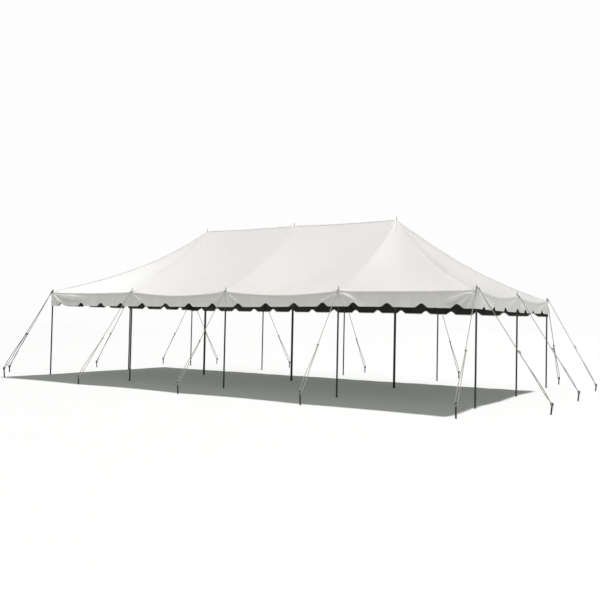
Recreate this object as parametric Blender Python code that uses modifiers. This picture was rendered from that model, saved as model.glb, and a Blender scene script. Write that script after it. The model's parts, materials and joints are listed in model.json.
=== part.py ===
# Pole tent: a hip-roofed marquee of four bays by two, held up by centre poles
# and side poles and held down by guy ropes run out to steel stakes.
# Units are metres, Z is up, the ground is Z = 0 and the origin is on the ground
# under the middle centre pole. X runs along the ridge, the front is -Y.

import math

import bmesh
import bpy
from mathutils import Matrix, Vector

# Plan and heights
bay = 3.048                     # ten feet from one side pole to the next
bays_along = 4
bays_across = 2
half_length = bay * bays_along / 2
half_width = bay * bays_across / 2
eave_height = 2.30              # edge of the roof cloth where it meets a side pole
peak_height = 4.24              # roof cloth at a centre pole
gap = 0.0003                    # clearance between pieces that touch

# Roof cloth
cloth = 0.005                   # thickness of the roof sheets
eave_lap = 0.025                # how far the cloth reaches past the pins
columns_per_bay = 6
roof_rows = 8
# How far each line from peak to pole hangs below the straight one. At the hips and in
# the power there are two values, for the left and the right end: a power above 1
# makes the cloth hang lowest nearer the peak.
hip_falls = (0.285, 0.225)
hang_powers = (1.3, 1.0)
crease_fall = 0.16
belly_fall = 0.07               # extra hang halfway between two such lines
ridge_dip = 0.02
front_dips = (0.05, 0.09, 0.085, 0.035)    # sag of the eave in each bay
end_dips = (0.08, 0.08)
eave_bow = 0.05                 # how far the eave is drawn inward in each bay
seam = 0.00025                  # half of the clearance along ridge and hips

# Valance
valance_cloth = 0.004
valance_bottom = 1.935
notch_width = 0.30
notch_height = 0.08
notch_steps = 6
side_notches_per_bay = 4
end_notches = 7
end_notch_pitch = 0.845
end_notch_shift = -0.12         # the run of notches stands nearer the front corner

# Poles
side_pole_radius = 0.019
side_pole_top = eave_height - 0.0015
centre_pole_radius = 0.030
centre_pole_top = peak_height - 0.029
pin_radius = 0.006
pin_above_cloth = 0.11
pole_steps = 12

# Guy ropes and stakes
rope_radius = 0.008
first_loop_lift = 0.043         # height of a rope's loop over the eave edge
second_loop_lift = 0.068
hook_angle = math.radians(60)
hook_steps = 6
stake_loop_steps = 6
hitch_share = 0.56              # place of the hitch that tightens a rope, along it
hitch_half_spread = 0.0095
hitch_radius = 0.0235
hitch_length = 0.105
hitch_steps = 12
stake_radius = 0.016
stake_head_radius = 0.0235
stake_tie_drop = 0.042          # from the top of a stake down to its rope
stake_lean = math.radians(6)
# Each stake: reach out from its pin, slip along the eave, height out of the ground
front_stakes = ((1.49, 0, 0.27), (1.60, -0.11, 0.21), (1.73, 0.08, 0.26),
                (1.78, 0.16, 0.28), (1.73, 0.21, 0.28))
back_stakes = ((1.63, -0.10, 0.22), (1.78, -0.04, 0.23), (1.60, -0.04, 0.22),
               (1.51, 0.13, 0.22), (1.45, 0.03, 0.21))
left_stakes = ((1.42, -0.27, 0.20), (1.42, 0, 0.22), (1.42, 0.16, 0.22))
right_stakes = ((1.42, 0, 0.22), (1.36, -0.07, 0.23), (1.25, -0.11, 0.19))

# Colours of the pieces
vinyl_white = (0.82, 0.82, 0.80)
valance_white = (0.78, 0.78, 0.76)
pole_grey = (0.10, 0.11, 0.09)
rope_white = (0.72, 0.71, 0.66)
stake_steel = (0.06, 0.055, 0.05)


def clear_scene():
    for item in list(bpy.data.objects):
        bpy.data.objects.remove(item, do_unlink=True)


def new_collection(name):
    collection = bpy.data.collections.new(name)
    bpy.context.scene.collection.children.link(collection)
    return collection


def new_material(name, colour, roughness, metallic=0.0):
    material = bpy.data.materials.new(name)
    material.use_nodes = True
    shader = material.node_tree.nodes["Principled BSDF"]
    shader.inputs["Base Color"].default_value = (*colour, 1.0)
    shader.inputs["Roughness"].default_value = roughness
    shader.inputs["Metallic"].default_value = metallic
    return material


def new_object(name, data, collection, material=None):
    item = bpy.data.objects.new(name, data)
    collection.objects.link(item)
    if material:
        data.materials.append(material)
    return item


def new_cutter(name, mesh, cutters):
    item = new_object(name, mesh, cutters)
    item.display_type = "WIRE"
    item.hide_render = True
    return item


def baked_mesh(item):
    """The mesh of an object with its modifiers or its curve turned to faces."""
    graph = bpy.context.evaluated_depsgraph_get()
    mesh = bpy.data.meshes.new_from_object(item.evaluated_get(graph))
    bpy.data.objects.remove(item, do_unlink=True)
    return mesh


# Shape of the roof

def between_ends(values, ridge_x):
    """Value at a place of the ridge, from those at its left and its right end."""
    left, right = values
    return left + (right - left) * (ridge_x + half_length - bay) / (2 * (half_length - bay))


def hang(share, power):
    """Drop of the hanging cloth at a share of the way from peak to eave, 1 at most."""
    deepest = 1 / (1 + power)
    largest = deepest * (1 - deepest) ** power
    return share * (1 - share) ** power / largest


def arch(share):
    return 4 * share * (1 - share)


def side_edge(station, dips):
    """Eave edge of a long side, station counted in bays from the left corner."""
    index = min(int(station), bays_along - 1)
    return eave_edge(station, index, dips, bays_along)


def end_edge(station, dips):
    index = min(int(station), bays_across - 1)
    return eave_edge(station, index, dips, bays_across)


def eave_edge(station, index, dips, bays):
    """Distance along the eave from its middle, inward bow, and height."""
    share = station - index
    reach = bay * bays / 2 + eave_lap
    along = bay * station - bay * bays / 2
    if station == 0 or station == bays:
        along = math.copysign(reach, along)
    height = eave_height - dips[index] * arch(share)
    return along, eave_bow * arch(share), height


def sheet_fall(station, bays, ridge_x):
    """Hang of the line from this place of the ridge to this station of the eave."""
    index = min(int(station), bays - 1)
    share = station - index
    hip_fall = between_ends(hip_falls, ridge_x)
    fall = crease_fall
    if index == 0:
        fall = hip_fall + (crease_fall - hip_fall) * share
    if index == bays - 1:
        fall = crease_fall + (hip_fall - crease_fall) * share
    return fall + belly_fall * arch(share)


def stations(bays):
    return [step / columns_per_bay for step in range(bays * columns_per_bay + 1)]


def draped_line(top, edge, fall):
    power = between_ends(hang_powers, top.x)
    points = []
    for row in range(roof_rows + 1):
        share = row / roof_rows
        point = top.lerp(edge, share)
        point.z -= fall * hang(share, power)
        points.append(point)
    return points


def slope_lines(side):
    """Lines from the ridge down to the eave of a long side, side is -1 for the front."""
    lines = []
    for station in stations(bays_along):
        along, bow, height = side_edge(station, front_dips)
        edge = Vector((along, side * (half_width + eave_lap - bow), height))
        ridge_x = max(bay - half_length, min(half_length - bay, along))
        ridge_share = (ridge_x / bay) % 1
        top = Vector((ridge_x, 0, peak_height - ridge_dip * arch(ridge_share)))
        lines.append(draped_line(top, edge, sheet_fall(station, bays_along, ridge_x)))
    return lines


def hip_lines(side):
    """Lines from an end peak down to the eave of that end, side is 1 for the right."""
    lines = []
    for station in stations(bays_across):
        along, bow, height = end_edge(station, end_dips)
        edge = Vector((side * (half_length + eave_lap - bow), along, height))
        top = Vector((side * (half_length - bay), 0, peak_height))
        lines.append(draped_line(top, edge, sheet_fall(station, bays_across, top.x)))
    return lines


def sheet_mesh(name, lines, facing, shift):
    """An open surface through neighbouring lines, faces turned towards facing."""
    work = bmesh.new()
    grid = [[work.verts.new(point + shift) for point in line] for line in lines]
    for left, right in zip(grid, grid[1:]):
        for row in range(len(left) - 1):
            work.faces.new((left[row], left[row + 1], right[row + 1], right[row]))
    bmesh.ops.remove_doubles(work, verts=work.verts, dist=0.0001)
    bmesh.ops.dissolve_degenerate(work, edges=work.edges, dist=0.0001)
    work.normal_update()
    middle = work.faces[:][len(work.faces) // 2]
    if middle.normal.dot(facing) < 0:
        bmesh.ops.reverse_faces(work, faces=work.faces)
    mesh = bpy.data.meshes.new(name)
    work.to_mesh(mesh)
    work.free()
    mesh.shade_smooth()
    return mesh


def add_solidify(item, thickness, offset):
    modifier = item.modifiers.new("Thickness", "SOLIDIFY")
    modifier.thickness = thickness
    modifier.offset = offset
    return modifier


def add_boolean(item, other, operation):
    modifier = item.modifiers.new(operation.title(), "BOOLEAN")
    modifier.operation = operation
    modifier.object = other
    modifier.solver = "EXACT"
    return modifier


def pin_places():
    """Plan positions of every pin that comes up through the roof cloth."""
    places = [(x, y) for x in side_pole_xs() for y in (-half_width, half_width)]
    places += [(x, 0) for x in (-half_length, half_length)]
    places += [(x, 0) for x in centre_pole_xs()]
    return places


def side_pole_xs():
    return [bay * index - half_length for index in range(bays_along + 1)]


def centre_pole_xs():
    return side_pole_xs()[1:-1]


def pin_hole_cutter(cutters):
    work = bmesh.new()
    for x, y in pin_places():
        low = eave_height - 0.1
        high = peak_height + 0.1
        place = Matrix.Translation((x, y, (low + high) / 2))
        bmesh.ops.create_cone(
            work, cap_ends=True, segments=pole_steps, depth=high - low,
            radius1=pin_radius + gap, radius2=pin_radius + gap, matrix=place)
    mesh = bpy.data.meshes.new("pin_holes")
    work.to_mesh(mesh)
    work.free()
    return new_cutter("pin_holes", mesh, cutters)


def build_roof(tent, cutters, vinyl):
    holes = pin_hole_cutter(cutters)
    sheets = {
        "roof_front": (slope_lines(-1), Vector((0, -1, 1)), Vector((0, -seam, 0))),
        "roof_back": (slope_lines(1), Vector((0, 1, 1)), Vector((0, seam, 0))),
        "roof_left_end": (hip_lines(-1), Vector((-1, 0, 1)), Vector((-seam, 0, 0))),
        "roof_right_end": (hip_lines(1), Vector((1, 0, 1)), Vector((seam, 0, 0))),
    }
    for name, (lines, facing, shift) in sheets.items():
        mesh = sheet_mesh(name, lines, facing, shift)
        item = new_object(name, mesh, tent, vinyl)
        add_solidify(item, cloth, 1)
        add_boolean(item, holes, "DIFFERENCE")


# Valance

def notch_centres(bays):
    if bays == bays_across:
        middle = (end_notches - 1) / 2
        return [(index - middle) * end_notch_pitch + end_notch_shift
                for index in range(end_notches)]
    pitch = bay / side_notches_per_bay
    count = bays * side_notches_per_bay
    return [(index + 0.5) * pitch - bay * bays / 2 for index in range(count)]


def hem_height(along, bays):
    """Bottom edge of the valance: flat tabs with a bell-shaped notch between two."""
    for centre in notch_centres(bays):
        offset = abs(along - centre)
        if offset < notch_width / 2:
            turn = 2 * math.pi * offset / notch_width
            return valance_bottom + notch_height * (1 + math.cos(turn)) / 2
    return valance_bottom


def eave_chain(dips, bays):
    """Corners of the roof's own eave edge, along, bow and height."""
    edge = side_edge if bays == bays_along else end_edge
    return [edge(station, dips) for station in stations(bays)]


def on_chain(chain, along):
    """Bow and height of the roof's eave edge at a place along it."""
    for start, end in zip(chain, chain[1:]):
        if along <= end[0]:
            share = max(0.0, (along - start[0]) / (end[0] - start[0]))
            return (start[1] + (end[1] - start[1]) * share,
                    start[2] + (end[2] - start[2]) * share)
    return chain[-1][1], chain[-1][2]


def valance_stations(chain, bays, trim):
    limit = chain[-1][0] - trim
    places = {round(along, 3) for along, bow, height in chain[1:-1]}
    for centre in notch_centres(bays):
        for step in range(notch_steps + 1):
            places.add(round(centre + notch_width * (step / notch_steps - 0.5), 3))
    return [-limit] + sorted(places) + [limit]


def valance_mesh(name, dips, bays, trim, place, facing):
    chain = eave_chain(dips, bays)
    lines = []
    for along in valance_stations(chain, bays, trim):
        bow, height = on_chain(chain, along)
        top = place(along, bow, height - gap)
        bottom = place(along, bow, hem_height(along, bays))
        lines.append([top, bottom])
    return sheet_mesh(name, lines, facing, Vector((0, 0, 0)))


def build_valances(tent, material):
    trim = valance_cloth + 2 * gap
    for name, side in (("valance_front", -1), ("valance_back", 1)):
        def place(along, bow, height):
            return Vector((along, side * (half_width + eave_lap - bow), height))
        mesh = valance_mesh(name, front_dips, bays_along, 0, place, Vector((0, side, 0)))
        item = new_object(name, mesh, tent, material)
        add_solidify(item, valance_cloth, -1)
    for name, side in (("valance_left_end", -1), ("valance_right_end", 1)):
        def place(along, bow, height):
            return Vector((side * (half_length + eave_lap - bow), along, height))
        mesh = valance_mesh(name, end_dips, bays_across, trim, place, Vector((side, 0, 0)))
        item = new_object(name, mesh, tent, material)
        add_solidify(item, valance_cloth, -1)


# Poles

def turned(name, profile, collection, material, steps):
    """A shape turned about Z from a profile that runs down its outer side."""
    mesh = bpy.data.meshes.new(name)
    points = [(radius, 0, height) for radius, height in profile]
    edges = [(index, index + 1) for index in range(len(points) - 1)]
    mesh.from_pydata(points, edges, [])
    item = new_object(name, mesh, collection, material)
    screw = item.modifiers.new("Turn", "SCREW")
    screw.steps = steps
    screw.render_steps = steps
    screw.use_merge_vertices = True
    screw.merge_threshold = 0.0001
    screw.use_smooth_shade = True
    return item


def pole_profile(radius, shoulder, pin_top):
    return [(0, pin_top), (pin_radius, pin_top), (pin_radius, shoulder),
            (radius, shoulder), (radius, 0), (0, 0)]


def build_poles(tent, material):
    side_profile = pole_profile(side_pole_radius, side_pole_top,
                                eave_height + pin_above_cloth)
    for name, x, y in side_poles():
        pole = turned("side_pole_" + name, side_profile, tent, material, pole_steps)
        pole.location = (x, y, 0)
    centre_profile = pole_profile(centre_pole_radius, centre_pole_top,
                                  peak_height + pin_above_cloth)
    for index, x in enumerate(centre_pole_xs(), 1):
        pole = turned(f"centre_pole_{index}", centre_profile, tent, material, pole_steps)
        pole.location = (x, 0, 0)


def side_poles():
    """Name and plan position of each side pole."""
    poles = [(f"front_{index}", x, -half_width) for index, x in enumerate(side_pole_xs(), 1)]
    poles += [(f"back_{index}", x, half_width) for index, x in enumerate(side_pole_xs(), 1)]
    poles += [("left", -half_length, 0), ("right", half_length, 0)]
    return poles


# Guy ropes and stakes

def guys():
    """Name, pin, foot and height of the stake, and loop height of each guy rope."""
    lines = []
    for side, stakes, name in ((-1, front_stakes, "front"), (1, back_stakes, "back")):
        y = side * half_width
        for index, (reach, slip, height) in enumerate(stakes, 1):
            x = side_pole_xs()[index - 1]
            foot = (x + slip, y + side * reach)
            lines.append((f"{name}_{index}", (x, y), foot, height, first_loop_lift))
    for side, stakes, name in ((-1, left_stakes, "left"), (1, right_stakes, "right")):
        x = side * half_length
        for index, (reach, slip, height) in enumerate(stakes, 1):
            y = half_width * (index - 2)
            foot = (x + side * reach, y + slip)
            lift = first_loop_lift if y == 0 else second_loop_lift
            lines.append((f"{name}_{index}", (x, y), foot, height, lift))
    return lines


def stake_profile(height):
    neck = height - 0.022
    return [(0, height), (0.8 * stake_head_radius, height - 0.001),
            (stake_head_radius, height - 0.008),
            (stake_head_radius, height - 0.014),
            (stake_radius, neck), (stake_radius, 0), (0, 0)]


def lean_shift(height):
    return height * math.tan(stake_lean)


def build_stake(name, outward, foot, height, tent, material):
    stake = turned("stake_" + name, stake_profile(height), tent, material, pole_steps)
    mesh = baked_mesh(stake)
    mesh.transform(Matrix((
        (1, 0, math.tan(stake_lean) * outward.x, 0),
        (0, 1, math.tan(stake_lean) * outward.y, 0),
        (0, 0, 1, 0),
        (0, 0, 0, 1))))
    item = bpy.data.objects.new("stake_" + name, mesh)
    tent.objects.link(item)
    item.location = (*foot, 0)


def loop_radius(core, turn):
    """Radius of a rope's centre line round a core, when it is bent once each turn."""
    return (core + rope_radius + gap) / math.cos(turn / 2)


def rope_route(pin, foot, height, lift, outward):
    """Route of a rope: hooked round the pin, down to the hitch, round the stake and
    back up into the hitch."""
    across = Vector((-outward.y, outward.x, 0))
    hook_turn = (2 * math.pi - 2 * hook_angle) / hook_steps
    stake_turn = math.pi / stake_loop_steps
    pin_loop = loop_radius(pin_radius, hook_turn)
    stake_loop = loop_radius(stake_radius, stake_turn)
    knot = Vector((*pin, eave_height + lift))
    tie_height = height - stake_tie_drop
    tie = Vector((*foot, tie_height)) + outward * lean_shift(tie_height)
    points = []
    for step in range(hook_steps + 1):
        angle = hook_angle + hook_turn * step
        points.append(knot + pin_loop * (math.cos(angle) * outward + math.sin(angle) * across))
    start = knot + 2 * pin_loop * outward - Vector((0, 0, pin_loop))
    hitch = start.lerp(tie, hitch_share)
    down = (tie - start).normalized()
    half = hitch_length / 2
    points.append(start)
    points.append(hitch - down * half * 0.7)
    points.append(hitch + down * half * 0.3 - across * hitch_half_spread)
    for step in range(stake_loop_steps + 1):
        angle = stake_turn * step - math.pi / 2
        points.append(tie + stake_loop * (math.cos(angle) * outward + math.sin(angle) * across))
    points.append(hitch + down * half * 0.5 + across * hitch_half_spread)
    return points, hitch, down, across


def tube_mesh(name, points, radius):
    """A closed round tube along the points."""
    curve = bpy.data.curves.new(name, "CURVE")
    curve.dimensions = "3D"
    spline = curve.splines.new("POLY")
    spline.points.add(len(points) - 1)
    for target, point in zip(spline.points, points):
        target.co = (*point, 1)
    curve.bevel_depth = radius
    curve.bevel_resolution = 2
    curve.use_fill_caps = True
    item = bpy.data.objects.new(name, curve)
    bpy.context.scene.collection.objects.link(item)
    mesh = baked_mesh(item)
    bpy.data.curves.remove(curve)
    work = bmesh.new()
    work.from_mesh(mesh)
    bmesh.ops.remove_doubles(work, verts=work.verts, dist=0.00005)
    work.to_mesh(mesh)
    work.free()
    mesh.shade_smooth()
    return mesh


def hitch_barrel(name, hitch, down, across, cutters):
    """The turns of the hitch, as one barrel round the rope."""
    work = bmesh.new()
    bmesh.ops.create_cone(
        work, cap_ends=True, segments=hitch_steps, depth=hitch_length,
        radius1=hitch_radius, radius2=hitch_radius)
    turn = Matrix((across, down.cross(across), down)).transposed().to_4x4()
    work.transform(Matrix.Translation(hitch) @ turn)
    bmesh.ops.recalc_face_normals(work, faces=work.faces)
    mesh = bpy.data.meshes.new(name)
    work.to_mesh(mesh)
    work.free()
    return new_cutter(name, mesh, cutters)


def build_guys(tent, cutters, rope_material, steel):
    for name, pin, foot, height, lift in guys():
        outward = Vector((foot[0] - pin[0], foot[1] - pin[1], 0)).normalized()
        build_stake(name, outward, foot, height, tent, steel)
        points, hitch, down, across = rope_route(pin, foot, height, lift, outward)
        mesh = tube_mesh("guy_rope_" + name, points, rope_radius)
        rope = new_object("guy_rope_" + name, mesh, tent, rope_material)
        barrel = hitch_barrel("hitch_" + name, hitch, down, across, cutters)
        add_boolean(rope, barrel, "UNION")


def main():
    clear_scene()
    tent = new_collection("pole_tent")
    cutters = new_collection("cutters")
    build_roof(tent, cutters, new_material("roof_vinyl", vinyl_white, 0.45))
    build_valances(tent, new_material("valance_vinyl", valance_white, 0.5))
    build_poles(tent, new_material("painted_steel_pole", pole_grey, 0.5, 0.6))
    build_guys(tent, cutters, new_material("guy_rope", rope_white, 0.85),
               new_material("stake_steel", stake_steel, 0.6, 0.8))


main()
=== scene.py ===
import json
from math import cos, pi, radians, sin, sqrt, tan

import bmesh
import bpy
import numpy as np
from mathutils import Euler, Matrix, Vector

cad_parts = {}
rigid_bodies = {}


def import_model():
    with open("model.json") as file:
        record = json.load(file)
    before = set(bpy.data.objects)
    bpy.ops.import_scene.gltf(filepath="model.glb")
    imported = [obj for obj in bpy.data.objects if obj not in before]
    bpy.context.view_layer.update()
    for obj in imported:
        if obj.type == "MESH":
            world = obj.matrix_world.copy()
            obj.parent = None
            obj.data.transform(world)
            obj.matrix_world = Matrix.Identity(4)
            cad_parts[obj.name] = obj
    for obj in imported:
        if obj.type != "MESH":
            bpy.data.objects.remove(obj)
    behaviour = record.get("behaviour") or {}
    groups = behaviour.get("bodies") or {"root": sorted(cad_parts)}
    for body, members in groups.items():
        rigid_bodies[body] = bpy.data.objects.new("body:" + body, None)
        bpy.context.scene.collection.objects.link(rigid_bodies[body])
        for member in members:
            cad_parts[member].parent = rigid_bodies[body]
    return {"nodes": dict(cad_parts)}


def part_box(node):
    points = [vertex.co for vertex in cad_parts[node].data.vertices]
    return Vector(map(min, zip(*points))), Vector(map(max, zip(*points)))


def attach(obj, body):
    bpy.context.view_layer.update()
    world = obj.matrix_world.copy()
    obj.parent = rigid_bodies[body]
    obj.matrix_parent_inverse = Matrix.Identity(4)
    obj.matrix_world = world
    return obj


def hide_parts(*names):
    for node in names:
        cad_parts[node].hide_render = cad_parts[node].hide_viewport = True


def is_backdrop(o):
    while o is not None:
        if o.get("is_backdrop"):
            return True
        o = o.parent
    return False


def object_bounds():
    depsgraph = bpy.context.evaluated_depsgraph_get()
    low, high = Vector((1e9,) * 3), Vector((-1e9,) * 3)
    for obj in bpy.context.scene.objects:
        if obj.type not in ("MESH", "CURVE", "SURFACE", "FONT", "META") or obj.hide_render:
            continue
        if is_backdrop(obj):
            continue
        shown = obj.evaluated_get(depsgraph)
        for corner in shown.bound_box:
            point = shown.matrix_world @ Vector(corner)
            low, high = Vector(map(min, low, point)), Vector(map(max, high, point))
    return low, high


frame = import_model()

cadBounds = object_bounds()
scene = bpy.context.scene
print("frame loaded:", len(frame["nodes"]), "nodes")


# Shader helpers

class ShaderSocket:
    # wraps an output socket, so that maths on it reads as maths

    def __init__(self, shader, output):
        self.shader = shader
        self.output = output

    def __add__(self, other):
        return self.shader.maths("ADD", self, other)

    def __sub__(self, other):
        return self.shader.maths("SUBTRACT", self, other)

    def __rsub__(self, other):
        return self.shader.maths("SUBTRACT", other, self)

    def __mul__(self, other):
        return self.shader.maths("MULTIPLY", self, other)

    def __abs__(self):
        return self.shader.maths("ABSOLUTE", self)

    __radd__ = __add__
    __rmul__ = __mul__


class ShaderTree:
    # the nodes of a material or of the world

    def __init__(self, owner):
        owner.use_nodes = True
        self.tree = owner.node_tree

    def node(self, kind, settings=None, values=None, output=0):
        made = self.tree.nodes.new(kind)
        for key, value in (settings or {}).items():
            setattr(made, key, value)
        for key, value in (values or {}).items():
            self.plug(self.socketOf(made.inputs, key), value)
        return ShaderSocket(self, self.socketOf(made.outputs, output))

    def socketOf(self, sockets, key):
        named = [socket for socket in sockets if socket.identifier == key]
        return named[0] if named else sockets[key]

    def plug(self, socket, value):
        if isinstance(value, ShaderSocket):
            self.tree.links.new(value.output, socket)
        elif socket.type == "RGBA":
            socket.default_value = (*value, 1.0)
        else:
            socket.default_value = value

    def maths(self, operation, first, second=0.0):
        return self.node("ShaderNodeMath", {"operation": operation}, {0: first, 1: second})


class PieceShader(ShaderTree):
    # one material: its Principled surface, and the nodes that feed it

    def __init__(self, name, roughness, metallic=0.0):
        self.material = bpy.data.materials.new(name)
        super().__init__(self.material)
        self.surface = self.tree.nodes["Principled BSDF"].inputs
        self.surface["Roughness"].default_value = roughness
        self.surface["Metallic"].default_value = metallic
        self.place = self.node("ShaderNodeTexCoord", output="Object")
        split = self.node("ShaderNodeSeparateXYZ", values={0: self.place}).output.node
        self.x, self.y, self.z = (ShaderSocket(self, output) for output in split.outputs)

    def stretch(self, *scale):
        return self.node("ShaderNodeMapping", values={"Vector": self.place, "Scale": scale})

    def noise(self, scale, detail=5.0, roughness=0.55, place=None):
        values = {"Vector": place or self.place, "Scale": scale, "Detail": detail,
                  "Roughness": roughness}
        return self.node("ShaderNodeTexNoise", values=values, output="Fac")

    def ramp(self, value, low, high):
        settings = {"clamp": True, "interpolation_type": "SMOOTHSTEP"}
        values = {"Value": value, "From Min": low, "From Max": high}
        return self.node("ShaderNodeMapRange", settings, values)

    def spots(self, scale, low, high, detail=5.0):
        return self.ramp(self.noise(scale, detail), low, high)

    def weave(self, first, second, turns):
        return self.maths("SINE", first * turns) * self.maths("SINE", second * turns)

    def blend(self, colour, *layers):
        for over, share in layers:
            values = {"Factor_Float": share, "A_Color": colour, "B_Color": over}
            colour = self.node("ShaderNodeMix", {"data_type": "RGBA"}, values, "Result_Color")
        return colour

    def bump(self, height, distance, strength, under=None):
        values = {"Height": height, "Distance": distance, "Strength": strength}
        if under:
            values["Normal"] = under
        return self.node("ShaderNodeBump", values=values)

    def finish(self, colour, roughness=None, normal=None, metallic=None):
        fed = {"Base Color": colour, "Roughness": roughness, "Normal": normal, "Metallic": metallic}
        for name, value in fed.items():
            if value is not None:
                self.plug(self.surface[name], value)
        return self.material


# Mesh helpers

def unit(vectors):
    return vectors / np.linalg.norm(vectors, axis=-1, keepdims=True)


def addObject(name, data):
    added = bpy.data.objects.new(name, data)
    scene.collection.objects.link(added)
    return added


def makePiece(name, points, faces, materials, slots=None, merge=0.0, sharp=55):
    mesh = bpy.data.meshes.new(name)
    mesh.from_pydata(np.asarray(points, float).reshape(-1, 3).tolist(), [], faces)
    for material in materials:
        mesh.materials.append(material)
    if slots is not None:
        mesh.polygons.foreach_set("material_index", slots)
    work = bmesh.new()
    work.from_mesh(mesh)
    if merge:
        bmesh.ops.remove_doubles(work, verts=work.verts, dist=merge)
        bmesh.ops.dissolve_degenerate(work, edges=work.edges, dist=merge / 10)
    bmesh.ops.recalc_face_normals(work, faces=work.faces)
    work.to_mesh(mesh)
    work.free()
    mesh.shade_smooth()
    mesh.set_sharp_from_angle(angle=radians(sharp))
    return addObject(name, mesh)


def finishPiece(piece, slotName, *nodes):
    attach(piece, "root")
    if nodes:
        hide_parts(*nodes)
    return piece


def gridFaces(rows, columns, ring=False, offset=0):
    faces = []
    for start in range(offset, offset + (rows - 1) * columns, columns):
        for column in range(columns if ring else columns - 1):
            here, after = start + column, start + (column + 1) % columns
            faces.append([here, here + columns, after + columns, after])
    return faces


def tubeFaces(rows, columns, offset=0):
    # a ring grid with both ends closed
    faces = gridFaces(rows, columns, True, offset)
    for start in (offset, offset + (rows - 1) * columns):
        faces.append(list(range(start, start + columns)))
    return faces


def splitFaces(faces, turned=False):
    # both sides of a thin sheet need the same diagonals, or one shows through the other
    halves = []
    for first, second, third, fourth in faces:
        corner = fourth if turned else third
        halves += [[first, second, corner], [second if turned else first, third, fourth]]
    return halves


def shell(outer, inner, ring=False):
    # points and faces of a closed sheet between two grids, the outer faces first, the rim last
    rows, columns = outer.shape[:2]
    count = rows * columns
    faces = splitFaces(gridFaces(rows, columns, ring) + gridFaces(rows, columns, ring, count))
    rims = []
    for column in range(columns if ring else columns - 1):
        after = (column + 1) % columns
        rims += [(column, after), (count - columns + column, count - columns + after)]
    if not ring:
        for here in range(0, count - columns, columns):
            rims += [(here, here + columns), (here + columns - 1, here + 2 * columns - 1)]
    faces += [[start, end, count + end, count + start] for start, end in rims]
    return np.concatenate([outer.reshape(-1, 3), inner.reshape(-1, 3)]), faces


def joinParts(name, parts, material):
    # one piece from the points and faces of several parts
    points, faces, count = [], [], 0
    for partPoints, partFaces in parts:
        faces += [[count + index for index in face] for face in partFaces]
        points.append(partPoints.reshape(-1, 3))
        count += len(points[-1])
    return finishPiece(makePiece(name, np.concatenate(points), faces, [material]), "roof_vinyl")


def mirrored(half):
    # a whole section from one half of it, as pairs of distance aside and height
    return np.array(half + tuple((-aside, height) for aside, height in half[-2::-1]))


def travelled(path):
    return np.append(0, np.cumsum(np.linalg.norm(np.diff(path, axis=0), axis=1)))


def evenPath(points, step):
    # a rounded path through the points, cut into even steps
    spans = np.diff(travelled(points))[:, None]
    slopes = np.diff(points, axis=0) / spans
    turns = (slopes[:-1] * spans[1:] + slopes[1:] * spans[:-1]) / (spans[1:] + spans[:-1])
    tangents = np.vstack([slopes[:1], turns, slopes[-1:]])
    fine = []
    for index, span in enumerate(spans[:, 0]):
        share = np.linspace(0, 1, max(3, int(2 * span / step)), endpoint=False)[:, None]
        rest = 1 - share
        fine.append(points[index] * (1 + 2 * share) * rest ** 2
                    + points[index + 1] * share ** 2 * (3 - 2 * share)
                    + span * share * rest * (tangents[index] * rest - tangents[index + 1] * share))
    fine = np.vstack(fine + [points[-1:]])
    lengths = travelled(fine)
    places = np.linspace(0, lengths[-1], int(lengths[-1] / step) + 1)
    return np.column_stack([np.interp(places, lengths, line) for line in fine.T])


def sweepPoints(path, turns, radii, twist=0.0):
    # rings of points round a path, turned steadily by twist radians a metre
    tangents = unit(np.gradient(path, axis=0))
    normal = np.cross(tangents[0], (0.36, 0.48, 0.8))    # any direction that no rope runs in
    normals = np.empty_like(path)
    for index, tangent in enumerate(tangents):
        normal = unit(normal - tangent * normal.dot(tangent))
        normals[index] = normal
    others = np.cross(tangents, normals)
    angles = (turns + twist * travelled(path)[:, None])[..., None]
    return path[:, None] + radii[:, None] * (np.cos(angles) * normals[:, None]
                                             + np.sin(angles) * others[:, None])


def smooth(value, low, high):
    share = np.clip((value - low) / (high - low), 0, 1)
    return share * share * (3 - 2 * share)


# Places read from the frame, and the sizes of pin and lap, which aren't in it

def middleOf(node):
    low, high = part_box(node)
    return (low + high) / 2


halfLong = middleOf("side_pole_front_5").x
halfWide = middleOf("side_pole_back_1").y
peakReach = middleOf("centre_pole_3").x
bay = halfLong - peakReach
pinRadius = 0.006
pinStandsUp = 0.11             # pin above the cloth
lap = 0.025                    # cloth past the pins
edgeLong = halfLong + lap
edgeWide = halfWide + lap
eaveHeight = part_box("side_pole_front_1")[1].z - pinStandsUp
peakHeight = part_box("centre_pole_2")[1].z - pinStandsUp
peakPins = [(index * bay, 0.0) for index in (-1, 0, 1)]
sidePins = [(index * bay, side * halfWide) for side in (-1, 1) for index in range(-2, 3)]
sidePins += [(-halfLong, 0.0), (halfLong, 0.0)]


def pinKind(pin):
    if pin in peakPins:
        return "peak"
    return "corner" if abs(pin[0]) + abs(pin[1]) > halfLong + 1 else "side"


# Camera, as the photograph was taken

view = {
    "place": (10.4241, -16.8173, 1.5891),
    "tilt": 91.834,            # degrees about X, 90 looks level
    "turn": 31.234,            # degrees about Z
    "roll": 1.184,
    "lens": 43.19,
    "sensor": 36.0,
    "farEnd": 500,
}

camera = addObject("camera", bpy.data.cameras.new("camera"))
camera.data.sensor_width = view["sensor"]
camera.data.lens = view["lens"]
camera.data.clip_end = view["farEnd"]
aim = Euler((radians(view["tilt"]), 0, radians(view["turn"]))).to_matrix()
roll = Matrix.Rotation(radians(view["roll"]), 3, "Z")
camera.matrix_world = Matrix.Translation(view["place"]) @ (aim @ roll).to_4x4()
scene.camera = camera


# Shape of the hanging roof

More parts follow.
